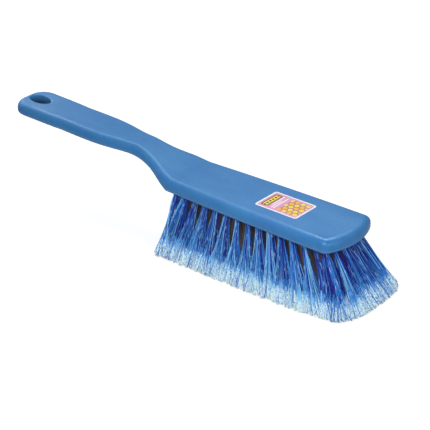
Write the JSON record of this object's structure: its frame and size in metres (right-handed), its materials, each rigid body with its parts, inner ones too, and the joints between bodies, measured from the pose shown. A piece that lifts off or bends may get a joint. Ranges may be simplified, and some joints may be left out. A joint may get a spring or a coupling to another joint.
{
  "type": "hand brush",
  "caption": "Hand brush with a flat block and gooseneck handle moulded in one, a hanging hole and a wide field of soft flared tufts, for brushing loose matter off a surface.",
  "frame": {"origin": "under the middle of the whole brush, on the plane of its trimmed bristle tips", "axes": "+X from the handle to the toe of the block, +Y across the block, +Z from the bristle tips up to the block"},
  "size_m": [0.336, 0.086, 0.0663],
  "materials": {
    "moulding": "satin moulded polypropylene",
    "filament": "soft filament, with pale split tips",
    "anchor_wire": "flat drawn wire",
    "label": "printed adhesive label"
  },
  "bodies": {
    "root": {"block_and_handle": "moulding", "label": "label", "tufts_01": "filament", "tufts_02": "filament", "tufts_03": "filament", "tufts_04": "filament", "tufts_05": "filament", "tufts_06": "filament", "tufts_07": "filament", "tufts_08": "filament", "tufts_09": "filament", "tufts_10": "filament", "tufts_11": "filament", "tufts_12": "filament", "tufts_13": "filament", "tufts_14": "filament", "tufts_15": "filament", "anchors_01": "anchor_wire", "anchors_02": "anchor_wire", "anchors_03": "anchor_wire", "anchors_04": "anchor_wire", "anchors_05": "anchor_wire", "anchors_06": "anchor_wire", "anchors_07": "anchor_wire", "anchors_08": "anchor_wire", "anchors_09": "anchor_wire", "anchors_10": "anchor_wire", "anchors_11": "anchor_wire", "anchors_12": "anchor_wire", "anchors_13": "anchor_wire", "anchors_14": "anchor_wire", "anchors_15": "anchor_wire"}
  },
  "joints": []
}
